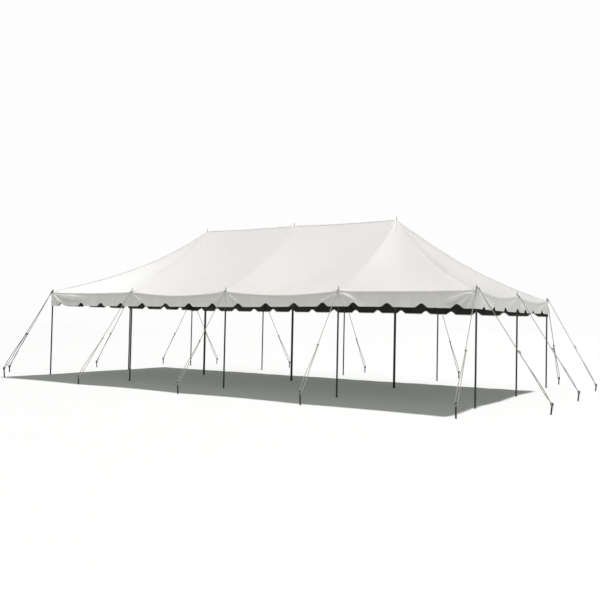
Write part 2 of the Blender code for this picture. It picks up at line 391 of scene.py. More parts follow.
roofPlan = {
    "hipFalls": (0.285, 0.225),    # hang of the lines from peak to corner, left and right end
    "hangPowers": (1.3, 1.0),      # above 1 the cloth hangs lowest near the peak
    "creaseFall": 0.16,        # hang of the lines from peak to side pole
    "bellyFall": 0.07,         # extra hang between two such lines
    "ridgeDip": 0.02,
    "longDips": (0.018, 0.09, 0.085, 0.006),    # of the eave, in each bay of a long side
    "endDips": (0.08, 0.08),
    "bow": 0.05,               # eave drawn inward in each bay
    "creaseEase": 0.04,        # in bays, rounds the crease at a pole
    # creases that fan out from a pin: height, how many, distance at which they are highest
    "fans": {"side": (0.0045, 10, 0.13), "corner": (0.0035, 9, 0.13), "peak": (0.004, 11, 0.16)},
    "swell": 0.007,            # height of the slow waves in the cloth
    # folds beside each hip: offset 1 m from the corner, length, half width, height
    "hipFolds": ((0.10, 1.9, 0.060, 0.010), (0.26, 1.4, 0.070, 0.010), (0.46, 0.9, 0.060, 0.008),
                 (-0.32, 4.2, 0.240, -0.036), (-0.70, 2.0, 0.090, 0.008),
                 (-0.14, 1.3, 0.050, 0.006)),
}


def hang(share, power):
    # drop of the cloth between peak and eave, 1 at its lowest
    lowest = 1 / (1 + power)
    return share * (1 - share) ** power / (lowest * (1 - lowest) ** power)


def swell(station):
    # 1 in the middle of a bay, 0 at its poles, eased where two bays meet
    ease = roofPlan["creaseEase"]
    near = np.abs(station - np.round(station))
    near = np.sqrt(near ** 2 + ease ** 2) - ease
    return 4 * near * (1 - near)


def eaveStation(along, longSide):
    # place along the eave, counted in bays from its left corner
    half = halfLong if longSide else halfWide
    return np.clip((along + half) / bay, 0, 2 * half / bay)


def eaveLine(along, longSide):
    # inward bow and height of the eave
    dips = np.array(roofPlan["longDips" if longSide else "endDips"])
    station = eaveStation(along, longSide)
    curve = swell(station)
    index = np.minimum(station.astype(int), len(dips) - 1)
    return roofPlan["bow"] * curve, eaveHeight - dips[index] * curve


def sheetHeight(along, share, longSide, end=0):
    # end is -1 on the left end of the roof and 1 on the right one
    eave = eaveLine(along, longSide)[1]
    place = np.clip(along / peakReach, -1, 1) if longSide else end
    hipFall, power = (left + (right - left) * (place + 1) / 2
                      for left, right in (roofPlan["hipFalls"], roofPlan["hangPowers"]))
    station = eaveStation(along, longSide)
    bays = 2 * (halfLong if longSide else halfWide) / bay
    inCorner = np.minimum(station, bays - station)
    toCorner = np.clip(1 - inCorner, 0, 1)
    fall = roofPlan["creaseFall"] + (hipFall - roofPlan["creaseFall"]) * toCorner
    room = np.where(inCorner < 1, smooth(share, 0, 0.55), 1)    # a corner bay narrows upward
    fall = fall + roofPlan["bellyFall"] * swell(station) * room
    top = peakHeight - roofPlan["ridgeDip"] * swell(place * peakReach / bay)
    return top + (eave - top) * share - fall * hang(np.clip(share, 0, 1), power)


def fanCreases(x, y, pin, folds, reach):
    distance = np.hypot(x - pin[0], y - pin[1])
    turn = np.arctan2(y - pin[1], x - pin[0])
    fade = distance / reach * np.exp(1 - distance / reach)
    return fade * np.cos(folds * turn + 1.7 * pin[0] + pin[1])


def hipCreases(x, y):
    inX, inY = edgeLong - np.abs(x), edgeWide - np.abs(y)
    along = np.maximum(inX + inY, 0) / sqrt(2)
    across = (inX - inY) / sqrt(2)
    lift = np.zeros_like(x)
    for offset, length, width, height in roofPlan["hipFolds"]:
        away = (across - offset * along ** 0.8) / (width * (0.5 + 0.5 * along / length))
        fade = smooth(along, 0.05, 0.3) * (1 - smooth(along, 0.45 * length, length))
        lift += height * fade * np.exp(-away ** 2)
    return lift


def ruffle(x, y):
    # small creases over the drawn shape of the sheet
    lift = hipCreases(x, y)
    for pin in sidePins + peakPins:
        height, folds, reach = roofPlan["fans"][pinKind(pin)]
        lift += height * fanCreases(x, y, pin, folds, reach)
    inward = smooth(np.minimum(edgeLong - np.abs(x), edgeWide - np.abs(y)), 0, 0.7)
    slow = np.sin(2.3 * x + 1.2 * np.sin(1.7 * y)) + 0.7 * np.sin(3.1 * y + 1.4 * np.sin(1.3 * x))
    quick = 0.35 * np.sin(5.3 * x - 2.2 * y + 0.8) * np.sin(4.1 * y + 1.9 * x)
    return lift + roofPlan["swell"] * inward * (slow + quick) * smooth(np.abs(y), 0, 0.5)


def roofHeight(x, y):
    # height of the sheet over any place in plan
    x, y = np.broadcast_arrays(np.asarray(x, float), np.asarray(y, float))
    beyond = np.abs(x) - peakReach
    onEnd = beyond > np.abs(y)
    share = np.where(onEnd, beyond / (edgeLong - peakReach), np.abs(y) / edgeWide)
    share = np.clip(share, 1e-4, 1)
    for attempt in range(5):
        endPlace = np.clip(y / share, -edgeWide, edgeWide)
        sidePlace = np.where(beyond > 0, np.sign(x) * (peakReach + beyond / share), x)
        sidePlace = np.clip(sidePlace, -edgeLong, edgeLong)
        endSpan = edgeLong - eaveLine(endPlace, False)[0] - peakReach
        sideSpan = edgeWide - eaveLine(sidePlace, True)[0]
        share = np.clip(np.where(onEnd, beyond / endSpan, np.abs(y) / sideSpan), 1e-4, 1.02)
    endHeight = sheetHeight(endPlace, share, False, np.sign(x))
    return np.where(onEnd, endHeight, sheetHeight(sidePlace, share, True)) + ruffle(x, y)


def onRoof(x, y, lift):
    # points at a small distance over the sheet, square to it
    step = 0.004
    slopeX = (roofHeight(x + step, y) - roofHeight(x - step, y)) / (2 * step)
    slopeY = (roofHeight(x, y + step) - roofHeight(x, y - step)) / (2 * step)
    normals = unit(np.stack([-slopeX, -slopeY, np.ones_like(slopeX)], axis=-1))
    return np.stack([x, y, roofHeight(x, y)], axis=-1) + lift * normals


# Shape of the hanging valance

skirtPlan = {
    "outside": 0.0015,         # outer face past the eave line
    "thick": 0.001,
    "tuck": 0.002,             # top edge below the roof sheet
    "hem": 1.935,              # height of the lower edge of the tabs
    # how much higher the hem hangs at places along each side, where folds draw it up
    "hemShifts": {
        "front": ((0.2, 0.0), (3.0, 0.033), (3.9, 0.033), (5.2, 0.018), (6.1, 0.004)),
        "back": ((1.5, 0.0), (3.1, -0.018), (4.7, -0.040), (6.1, -0.050)),
        "right_end": ((0.6, 0.0), (2.0, 0.022), (3.1, 0.030)),
        "left_end": ((0.6, 0.0), (2.0, 0.016), (3.1, 0.020)),
    },
    "notchWide": 0.31,
    "notchHigh": 0.086,
    "endNotches": 7,
    "endPitch": 0.845,
    "endShift": -0.12,         # the run of end notches stands nearer the front
    "flare": 0.026,            # the hem hangs this much further out than the eave
    "flutter": 0.010,          # height of its small waves
    "drop": 0.36,              # below the eave, where flare and flutter are full
    # folds: place along the eave from a pin, drop, angle below the eave, length, half width,
    # height, as a person outside sees them, right of the pin from 0 to 90 degrees
    "cornerRight": ((0.03, 0.020, 6, 1.50, 0.054, 0.050), (0.03, 0.03, 36, 0.62, 0.042, 0.050),
                    (0.02, 0.04, 58, 0.40, 0.034, 0.030), (0.01, 0.05, 82, 0.34, 0.030, 0.020)),
    "cornerLeft": ((0.03, 0.02, 176, 0.60, 0.036, 0.024), (0.03, 0.02, 161, 0.80, 0.040, 0.036),
                   (0.03, 0.03, 144, 0.62, 0.040, 0.040), (0.02, 0.04, 122, 0.44, 0.034, 0.028),
                   (0.01, 0.05, 100, 0.36, 0.030, 0.020)),
    "endRight": ((0.03, 0.02, 9, 1.60, 0.046, 0.034), (0.03, 0.02, 24, 1.00, 0.042, 0.036),
                 (0.03, 0.03, 41, 0.62, 0.038, 0.034), (0.02, 0.03, 60, 0.44, 0.033, 0.028),
                 (0.01, 0.04, 80, 0.38, 0.029, 0.022)),
    "endLeft": ((0.03, 0.02, 168, 1.30, 0.050, 0.030), (0.03, 0.03, 148, 0.75, 0.042, 0.030),
                (0.02, 0.04, 126, 0.46, 0.036, 0.024), (0.01, 0.05, 104, 0.36, 0.030, 0.018)),
    "bold": ((0.03, 0.02, 24, 0.50, 0.028, 0.024), (0.04, 0.03, 36, 1.10, 0.080, 0.034),
             (0.02, 0.03, 62, 0.44, 0.030, 0.022), (0.02, 0.03, 154, 0.70, 0.034, 0.022),
             (0.02, 0.03, 118, 0.40, 0.030, 0.020)),
    "mild": ((0.02, 0.02, 34, 0.50, 0.030, 0.022), (0.02, 0.02, 70, 0.36, 0.028, 0.016),
             (0.02, 0.02, 106, 0.34, 0.028, 0.015), (0.02, 0.02, 144, 0.52, 0.032, 0.022)),
    "middle": ((0.02, 0.02, 12, 1.10, 0.044, 0.026), (0.02, 0.03, 30, 0.60, 0.036, 0.022),
               (0.02, 0.04, 62, 0.38, 0.030, 0.016), (0.02, 0.02, 168, 1.10, 0.046, 0.026),
               (0.02, 0.03, 148, 0.60, 0.036, 0.020), (0.02, 0.04, 114, 0.38, 0.030, 0.014)),
}
# the folds at each pole of a long side, and of an end
skirtFolds = {
    True: ("cornerRight", "mild", "mild", "bold", "cornerLeft"),
    False: ("endRight", "middle", "endLeft"),
}
# whether it is a long side, and the way it faces
skirtSides = {"front": (True, -1), "right_end": (False, 1), "back": (True, 1),
              "left_end": (False, -1)}


def foldOut(longSide, along, drop):
    # how far flare, folds and flutter stand out from the straight hanging sheet
    half, reach = (halfLong, edgeLong) if longSide else (halfWide, edgeWide)
    stands = np.zeros(np.broadcast(along, drop).shape)
    for index, kind in enumerate(skirtFolds[longSide]):
        pin = index * bay - half
        for right, below, angle, length, width, height in skirtPlan[kind]:
            side = 1 if angle < 90 else -1
            ahead, under = along - pin - side * right, drop - below
            level, steep = cos(radians(angle)), sin(radians(angle))
            run = ahead * level + under * steep
            away = under * level - ahead * steep
            tucked = np.where(away * side > 0, 0.8, 1.25)    # steeper below than above
            grown = 0.6 + 0.4 * np.clip(run / (0.5 * length), 0, 1)
            fade = smooth(run, 0, 0.08) * (1 - smooth(run, 0.5 * length, length))
            stands += height * grown * fade * np.exp(-(away / (width * tucked * grown)) ** 2)
    wave = (np.sin(8.3 * along + 0.6 + 2.2 * drop) + 0.8 * np.sin(16.7 * along + 2.1 - 3.1 * drop)
            + 0.5 * np.sin(3.4 * along + 4.0))
    low = np.clip(drop / skirtPlan["drop"], 0, 1.2)
    inBay = 0.25 + 0.75 * swell(eaveStation(along, longSide))
    stands += skirtPlan["flare"] * low ** 2 + skirtPlan["flutter"] * inBay * wave * low ** 1.3
    return stands * smooth(drop, 0.015, 0.08) * smooth(reach - np.abs(along), 0, 0.035)


def hemHeight(side, along):
    # bottom edge of the valance: flat tabs with a bell-shaped notch between two
    if skirtSides[side][0]:
        pitch = bay / 4
        offset = np.abs((along + halfLong) / pitch % 1 - 0.5) * pitch
    else:
        pitch = skirtPlan["endPitch"]
        middle = (skirtPlan["endNotches"] - 1) / 2
        place = (along - skirtPlan["endShift"]) / pitch
        offset = np.abs(place - np.clip(np.round(place), -middle, middle)) * pitch
    turn = np.clip(offset / (skirtPlan["notchWide"] / 2), 0, 1) * pi
    shift = np.interp(along, *np.array(skirtPlan["hemShifts"][side]).T)
    return skirtPlan["hem"] + shift + skirtPlan["notchHigh"] * (1 + np.cos(turn)) / 2


def onSkirt(side, along, height, out):
    # a point of the valance, out is its distance outside the eave line
    longSide, sign = skirtSides[side]
    bow, eave = eaveLine(along, longSide)
    reach = edgeWide if longSide else edgeLong
    depth = sign * (reach - bow + out + foldOut(longSide, along, eave - height))
    x, y = (along, depth) if longSide else (depth, along)
    return np.stack(np.broadcast_arrays(x, y, height), axis=-1)


# Finishes

vinylFinish = {
    "clean": (0.885, 0.868, 0.850),
    "aged": (0.845, 0.826, 0.800),
    "shaded": (0.745, 0.752, 0.768),    # painted shade, low on the two ends and beside the front hips
    # a little darker and greener than the clean cloth: painted shade of the hanging valance
    "valance": (0.852, 0.854, 0.799),
    "grime": (0.420, 0.400, 0.350),
    "roughness": 0.44,
    "panel": 1.524,            # width of the cloth as it comes off the roll
    "thread": 0.0022,
}
# the inside faces of roof and valance: near black, painted shade of the space under the tent
paintedInsideFinish = {"dark": (0.016, 0.0155, 0.009), "faded": (0.034, 0.032, 0.022), "roughness": 0.7}
bindingFinish = {"tape": (0.94, 0.935, 0.915), "thread": (0.62, 0.61, 0.58), "stitch": 0.009}
webbingFinish = {"web": (0.30, 0.295, 0.27), "dirt": (0.13, 0.125, 0.10), "ribs": 1400}
poleFinish = {
    "paint": (0.030, 0.035, 0.030),
    "dull": (0.060, 0.066, 0.058),
    "bare": (0.33, 0.33, 0.31),
    "mud": (0.15, 0.13, 0.10),
    "roughness": 0.42,
}
# one white rope: the "worn" tone and the dark grey tone are copies of it in painted shade, the soil
# tones are its dirt
ropeFinish = {
    "lightest": (0.50, 0.492, 0.455),
    "soiled": (0.20, 0.19, 0.15),
    "worn": (0.40, 0.395, 0.365),
    "shadeGrey": (0.075, 0.075, 0.066),
    "shadeGreySoil": (0.035, 0.034, 0.028),
}
stakeFinish = {
    "steel": (0.050, 0.050, 0.047),
    "rust": (0.115, 0.050, 0.022),
    "worn": (0.36, 0.35, 0.33),
    "soil": (0.16, 0.13, 0.095),
}
zincFinish = {"bright": (0.52, 0.52, 0.50), "tarnish": (0.24, 0.23, 0.20)}


def clothThreads(shader, under):
    # bump of the weave, over larger relief
    threads = shader.weave(shader.x + shader.y, shader.z + shader.x - shader.y,
                           2 * pi / vinylFinish["thread"])
    return shader.bump(threads, 0.00012, 0.25, under)


def vinylShade(name, tone, seams):
    shader = PieceShader(name, vinylFinish["roughness"])
    x, y, z = shader.x, shader.y, shader.z
    onEnd = shader.ramp(abs(x) - peakReach - abs(y), -0.04, 0.04)
    clouds = shader.noise(0.8)
    streaks = (shader.noise(1.0, place=shader.stretch(7.0, 0.45, 0.7)) * (1 - onEnd)
               + shader.noise(1.0, place=shader.stretch(0.45, 7.0, 0.7)) * onEnd)
    specks = shader.spots(26.0, 0.60, 0.78, 6.0)
    lowDown = shader.ramp(z, eaveHeight + 0.55, eaveHeight - 0.02)
    grime = lowDown * shader.ramp(streaks, 0.42, 0.74) * 0.06 + specks * 0.07
    aged = shader.ramp(clouds, 0.36, 0.72) * 0.6 + streaks * 0.1
    colour = shader.blend(vinylFinish[tone], (vinylFinish["aged"], aged))
    if seams:
        across = x * (1 - onEnd) + y * onEnd
        panel = vinylFinish["panel"]
        beside = abs(shader.maths("FRACT", across * (1 / panel) + 0.5) - 0.5) * panel
        grime = grime + shader.ramp(beside, 0.075, 0.015) * shader.ramp(streaks, 0.3, 0.8) * 0.05
        # painted shade: the two ends darker low down and in a band beside the front hips
        besideHip = shader.ramp(abs(x) - peakReach + y, 2.5, -0.3)    # the side nearer the front
        hipShadeBand = besideHip * shader.ramp(z, eaveHeight + 1.20, eaveHeight + 0.55)
        shaded = onEnd * (0.45 * lowDown + 0.8 * hipShadeBand)
        colour = shader.blend(colour, (vinylFinish["shaded"], shaded))
    creases = 1 - abs(shader.noise(2.2, 3.0, 0.45) - 0.5) * 9
    relief = shader.bump(shader.noise(5.5, 4.0), 0.004, 0.25)
    relief = shader.bump(shader.ramp(creases, 0.0, 1.0), 0.0022, 0.22, relief)
    return shader.finish(shader.blend(colour, (vinylFinish["grime"], grime)),
                         vinylFinish["roughness"] + 0.16 * (clouds - 0.5) + 0.10 * specks,
                         clothThreads(shader, relief))


def paintedInsideShade():
    # the dark tone is painted shade
    shader = PieceShader("painted_inside_shade", paintedInsideFinish["roughness"])
    dust = shader.spots(18.0, 0.55, 0.80)
    faded = shader.spots(1.3, 0.35, 0.75) * 0.7 + dust * 0.3
    return shader.finish(shader.blend(paintedInsideFinish["dark"], (paintedInsideFinish["faded"], faded)),
                         paintedInsideFinish["roughness"] + 0.12 * (dust - 0.5),
                         clothThreads(shader, shader.bump(shader.noise(6.0, 4.0), 0.005, 0.3)))


def bindingShade():
    shader = PieceShader("hem_binding", 0.6)
    along = shader.x + shader.y    # one of the two stays the same on each side of the tent
    beat = shader.maths("FRACT", along * (1 / bindingFinish["stitch"]))
    stitches = shader.ramp(beat, 0.30, 0.38) * shader.ramp(beat, 0.98, 0.90)
    dirt = shader.spots(7.0, 0.45, 0.8)
    colour = shader.blend(bindingFinish["tape"], (bindingFinish["thread"], stitches * 0.5),
                          (vinylFinish["grime"], dirt * 0.25))
    return shader.finish(colour, 0.58 + 0.14 * dirt, shader.bump(stitches, 0.0006, 0.5))


def webbingShade():
    shader = PieceShader("load_webbing", 0.75)
    ribs = shader.weave(shader.x + shader.y, shader.x - shader.y, webbingFinish["ribs"])
    dirt = shader.spots(9.0, 0.4, 0.75)
    return shader.finish(shader.blend(webbingFinish["web"], (webbingFinish["dirt"], dirt)),
                         0.70 + 0.15 * dirt, shader.bump(ribs, 0.0004, 0.5))


def poleShade():
    shader = PieceShader("pole_paint", poleFinish["roughness"], 0.25)
    mottle = shader.noise(9.0)
    chips = shader.ramp(shader.noise(1.0, place=shader.stretch(60.0, 60.0, 6.0)), 0.70, 0.76)
    mud = shader.ramp(shader.z, 0.16, 0.0) * shader.ramp(mottle, 0.35, 0.65)
    colour = shader.blend(poleFinish["paint"], (poleFinish["dull"], mottle),
                          (poleFinish["bare"], chips * 0.6), (poleFinish["mud"], mud * 0.6))
    return shader.finish(colour, poleFinish["roughness"] + 0.25 * mud + 0.20 * (mottle - 0.5),
                         shader.bump(shader.noise(120.0, 4.0) - chips * 0.6, 0.0006, 0.35))


def ropeShade(name, tone, soil):
    shader = PieceShader(name, 0.82)
    dirt = shader.spots(11.0, 0.42, 0.80)
    muddy = shader.ramp(shader.z, 0.55, 0.12)
    fibres = shader.noise(1.0, 3.0, place=shader.stretch(420.0, 420.0, 160.0))
    share = dirt * 0.35 + muddy * 0.14 + (fibres - 0.5) * 0.25
    return shader.finish(shader.blend(ropeFinish[tone], (ropeFinish[soil], share)),
                         0.78 + 0.16 * dirt, shader.bump(fibres, 0.0012, 0.55))


def stakeShade():
    shader = PieceShader("stake_steel", 0.55, 0.55)
    pits = shader.noise(70.0, 6.0)
    rust = shader.spots(22.0, 0.46, 0.68, 6.0)
    struck = shader.ramp(shader.z, 0.165, 0.20) * shader.ramp(pits, 0.50, 0.66)
    soil = shader.ramp(shader.z, 0.045, 0.0) * shader.ramp(pits, 0.30, 0.55)
    colour = shader.blend(stakeFinish["steel"], (stakeFinish["rust"], rust * 0.55),
                          (stakeFinish["worn"], struck * 0.35), (stakeFinish["soil"], soil * 0.7))
    return shader.finish(colour, 0.48 + 0.30 * rust, shader.bump(pits, 0.0015, 0.6),
                         0.60 - 0.35 * rust)


def grommetShade():
    shader = PieceShader("grommet_zinc", 0.38, 0.9)
    tarnish = shader.spots(90.0, 0.40, 0.70)
    return shader.finish(shader.blend(zincFinish["bright"], (zincFinish["tarnish"], tarnish)),
                         0.32 + 0.26 * tarnish, shader.bump(tarnish, 0.0003, 0.4))


outside = vinylShade("vinyl_outside", "clean", seams=True)
roofTrim = vinylShade("vinyl_trim", "clean", seams=False)
skirtVinyl = vinylShade("valance_vinyl", "valance", seams=False)
paintedInside = paintedInsideShade()
binding = bindingShade()
webbing = webbingShade()
polePaint = poleShade()
zinc = grommetShade()
stakeSteel = stakeShade()
lightestRope = ropeShade("white_rope", "lightest", "soiled")
midGreyRope = ropeShade("mid_grey_rope", "worn", "soiled")
darkGreyRope = ropeShade("grey_rope", "shadeGrey", "shadeGreySoil")
print("finishes made")


# Roof sheet

roofCloth = {
    "columns": 44,             # in each bay
    "rows": 70,                # from ridge to eave
    "crowdColumns": 0.72,      # 0 spaces them evenly, towards 1 they gather at the pins
    "crowdRows": 0.62,
    "over": 0.0030,            # outer face over the drawn sheet
    "under": 0.0018,
    # the turned-down edge, as distance out and drop from the eave line
    "flapOutside": ((0.0052, -0.0016), (0.0080, 0.0012), (0.0092, 0.0050), (0.0090, 0.0110),
                    (0.0076, 0.0180), (0.0056, 0.0260), (0.0050, 0.0302)),
    "flapInside": ((0.0040, 0.0292), (0.0044, 0.0180), (0.0048, 0.0110), (0.0044, 0.0045),
                   (0.0024, 0.0006)),
}


def crowded(count, crowd, closed):
    even = np.linspace(0, 1, count + 1) if closed else np.arange(count) / count
    return even - crowd * np.sin(2 * pi * even) / (2 * pi)


def roofRing():
    # one entry for each side of the tent, going round anticlockwise from the front
    shares = crowded(roofCloth["columns"], roofCloth["crowdColumns"], False)
    for longSide, sign, turn in ((True, -1, 1), (False, 1, 1), (True, 1, -1), (False, -1, -1)):
        half, reach = (halfLong, edgeLong) if longSide else (halfWide, edgeWide)
        bays = round(2 * half / bay)
        along = np.concatenate([bay * (index + shares) - half for index in range(bays)])
        along[0] = -reach
        yield longSide, sign, turn * along


def ringNormals(points):
    across = np.roll(points, -1, axis=1) - np.roll(points, 1, axis=1)
    normals = np.cross(np.gradient(points, axis=0), across)
    return normals / np.maximum(np.linalg.norm(normals, axis=2, keepdims=True), 1e-12)


def mitres(edge):
    # outward direction at each corner of a closed outline, longer where it turns
    both = unit(edge - np.roll(edge, 1, axis=0)) + unit(np.roll(edge, -1, axis=0) - edge)
    square = np.stack([both[:, 1], -both[:, 0]], axis=1)
    return 2 * square / (both ** 2).sum(axis=1, keepdims=True)


def makeRoof():
    share = crowded(roofCloth["rows"], roofCloth["crowdRows"], True)[:, None]
    flaps = np.array(roofCloth["flapOutside"] + roofCloth["flapInside"])
    sheet, stands = [], []
    for longSide, sign, along in roofRing():
        bow = eaveLine(along, longSide)[0]
        if longSide:
            ridge = (np.clip(along, -peakReach, peakReach), 0 * along)
            eave = (along, sign * (edgeWide - bow))
        else:
            ridge = (sign * peakReach + 0 * along, 0 * along)
            eave = (sign * (edgeLong - bow), along)
        x, y = (start + (end - start) * share for start, end in zip(ridge, eave))
        height = sheetHeight(along[None, :], share, longSide, sign) + ruffle(x, y)
        sheet.append(np.stack([x, y, height], axis=-1))
        stands.append(foldOut(longSide, along[None, :], flaps[:, 1:]))
    sheet = np.concatenate(sheet, axis=1)
    normals = ringNormals(sheet)
    normals[0] = (0, 0, 1)
    outward = mitres(sheet[-1, :, :2])
    rows = [sheet + roofCloth["over"] * normals]
    for (out, drop), stand in zip(flaps, np.concatenate(stands, axis=1)):
        row = sheet[-1].copy()
        row[:, :2] += outward * (out + stand)[:, None]
        row[:, 2] -= drop
        rows.append(row[None])
    rows.append((sheet + roofCloth["under"] * normals)[::-1])
    points = np.concatenate(rows)
    count, columns = points.shape[:2]
    outerRows = len(sheet) + len(roofCloth["flapOutside"])
    outerFaces = splitFaces(gridFaces(outerRows + 1, columns, True))
    innerFaces = splitFaces(gridFaces(count - outerRows, columns, True, outerRows * columns), True)
    slots = [0] * len(outerFaces) + [1] * len(innerFaces)
    piece = makePiece("roof_sheet", points, outerFaces + innerFaces, [outside, paintedInside], slots,
                      merge=0.0001)
    return finishPiece(piece, "roof_vinyl", "roof_front", "roof_back", "roof_left_end",
                       "roof_right_end")


roof = makeRoof()


# What is welded and sewn to the roof sheet

trimPlan = {
    "seamWide": 0.038,
    "seamThick": 0.0007,
    "seamLift": 0.0001,        # over the sheet
    "seamMargin": 0.014,       # from the eave
    "ridgeGap": 0.035,         # between the end of a seam and the ridge
    "hipGap": 0.03,
    "bandLift": 0.0009,
    "bandEnds": (0.02, 0.03),  # from a peak, and from the edges at a corner
    "ridgeWide": 0.055,
    "hipWide": 0.050,
    # the two edges sewn together stand up along the ridge and hips: half the section
    "welt": ((-0.0035, -0.002), (-0.0035, 0.014), (-0.0022, 0.0175), (0, 0.019)),
    # how far it stands up at each hip, by the hip's side in X and Y: one lies nearly flat
    "hipWelts": {(-1, -1): 1.0, (-1, 1): 1.0, (1, -1): 0.35, (1, 1): 1.0},
    "weltLift": 0.0012,
    "weltGap": 0.040,          # clear of the pins
    "weltWave": 0.0022,
    "weltStep": 0.03,
    "tapeWide": 0.050,
    "tapeThick": 0.0014,
    "tapeDrop": 0.007,         # the tapes pull straighter than the cloth over them
    "patches": {"side": 0.15, "corner": 0.21, "peak": 0.24},
    "patchLift": 0.0034,       # top of a patch over the sheet and its seams
    "patchTurns": 64,
    "patchRows": 10,
    "patchMargin": 0.004,      # from the eave
    "hole": 0.009,
    "ring": 0.0125,            # middle of a grommet's rim
    "ringThick": 0.0034,
    "ringLift": 0.0012,        # over the patch
    "ringSteps": (10, 36),     # round the rim, and round the pin
}


def strip(line, width, low, thick, rounds=4):
    # a band along a line in plan, on the roof sheet or just under it
    ahead = unit(np.gradient(line, axis=0))
    offsets = np.linspace(-width / 2, width / 2, rounds + 1)
    x = line[:, :1] - ahead[:, 1:] * offsets
    y = line[:, 1:] + ahead[:, :1] * offsets
    return shell(onRoof(x, y, low + thick), onRoof(x, y, low))


def makeSeams():
    parts = []
    low = roofCloth["over"] + trimPlan["seamLift"]
    for longSide, most in ((True, 3), (False, 1)):
        for place in vinylFinish["panel"] * np.arange(-most, most + 1):
            inner = max(trimPlan["ridgeGap"], abs(place) - peakReach + trimPlan["hipGap"])
            if not longSide:
                inner = peakReach + abs(place) + 2 * trimPlan["hipGap"]
            bow = eaveLine(np.array([place]), longSide)[0][0]
            outer = (edgeWide if longSide else edgeLong) - bow - trimPlan["seamMargin"]
            for side in (-1, 1):
                ends = [(place, side * reach) for reach in (inner, outer)]
                if not longSide:
                    ends = [end[::-1] for end in ends]
                parts.append(strip(np.linspace(*ends, 70), trimPlan["seamWide"], low,
                                   trimPlan["seamThick"]))
    return joinParts("weld_seams", parts, outside)


def welt(start, end, height=1.0):
    # an upright seam along a line in plan, low at both ends
    start, end = np.array(start, float), np.array(end, float)
    length = np.linalg.norm(end - start)
    ahead = (end - start) / length
    gap = trimPlan["weltGap"]
    along = np.linspace(gap, length - gap, int(length / trimPlan["weltStep"]))
    side, up = (mirrored(trimPlan["welt"]) * (1, height)).T
    ends = 0.15 + 0.85 * smooth(np.minimum(along - gap, length - gap - along), 0, 0.07)
    wave = trimPlan["weltWave"] * (np.sin(21 * along + start[1]) + np.sin(8.7 * along + 5 * end[0]))
    across = side + wave[:, None] * np.maximum(up, 0) / up.max()
    x, y = (start + along[:, None] * ahead).T[..., None]
    height = roofHeight(x, y) + roofCloth["over"] + trimPlan["weltLift"] + up * ends[:, None]
    points = np.stack([x - ahead[1] * across, y + ahead[0] * across, height], axis=-1)
    return points, tubeFaces(len(along), len(up))


def makeRidgeBand():
    low, thick = roofCloth["over"] + trimPlan["bandLift"], trimPlan["seamThick"]
    nearPeak, nearEdge = trimPlan["bandEnds"]
    ridge = np.linspace((-peakReach, 0), (peakReach, 0), 160)
    parts = [strip(ridge, trimPlan["ridgeWide"], low, thick, 6)]
    for (sideX, sideY), height in trimPlan["hipWelts"].items():
        near = (sideX * (peakReach + nearPeak), sideY * nearPeak)
        far = (sideX * (edgeLong - nearEdge), sideY * (edgeWide - nearEdge))
        parts.append(strip(np.linspace(near, far, 140), trimPlan["hipWide"], low, thick, 6))
        parts.append(welt((sideX * peakReach, 0), (sideX * halfLong, sideY * halfWide), height))
    parts += [welt((-peakReach, 0), (0, 0)), welt((0, 0), (peakReach, 0))]
    return joinParts("ridge_and_hip_seams", parts, roofTrim)


def makeTapes():
    # load tapes under the sheet, from peak to peak and from each peak to the pins
    lines = [np.linspace((-peakReach, 0), (peakReach, 0), 120)]
    for x, y in sidePins:
        peak = (min(max(x, -peakReach), peakReach), trimPlan["bandEnds"][0] * np.sign(y))
        lines.append(np.linspace(peak, (x, y), 90))
    thick = trimPlan["tapeThick"]
    low = roofCloth["under"] - trimPlan["tapeDrop"] - thick
    parts = [strip(line, trimPlan["tapeWide"], low, thick) for line in lines]
    return joinParts("load_tapes", parts, webbing)


def makePatch(name, pin):
    # a round patch about a pin, cut off square where it meets the eave
    radius = trimPlan["patches"][pinKind(pin)]
    count = trimPlan["patchTurns"] * (2 if pinKind(pin) == "corner" else 1)
    turns = np.arange(count) * 2 * pi / count
    directions = (np.cos(turns), np.sin(turns))
    rooms = np.full(count, radius)
    for axis, edge in ((0, edgeLong), (1, edgeWide)):
        if edge - abs(pin[axis]) < 0.1:
            slope = np.sign(pin[axis]) * directions[axis]
            for attempt in range(4):
                along = pin[1 - axis] + rooms * directions[1 - axis]
                bow = eaveLine(along, axis == 1)[0]
                room = edge - bow - abs(pin[axis]) - trimPlan["patchMargin"]
                fits = np.minimum(rooms, room / np.maximum(slope, 0.01))
                rooms = np.where(slope > 0.01, fits, rooms)
    share = np.append(np.linspace(0, 0.975, trimPlan["patchRows"]) ** 0.8, 1.0)[:, None]
    reach = trimPlan["hole"] + (rooms - trimPlan["hole"]) * share
    x, y = (middle + reach * direction for middle, direction in zip(pin, directions))
    low = np.full((len(share), 1, 1), roofCloth["over"] + 0.0002)
    high = low + trimPlan["patchLift"]
    low[-1] -= 0.0008                              # the rim is welded down
    high[-1] -= 0.7 * trimPlan["patchLift"]
    points, faces = shell(onRoof(x, y, high), onRoof(x, y, low), ring=True)
    return finishPiece(makePiece(name, points, faces, [roofTrim]), "roof_vinyl")


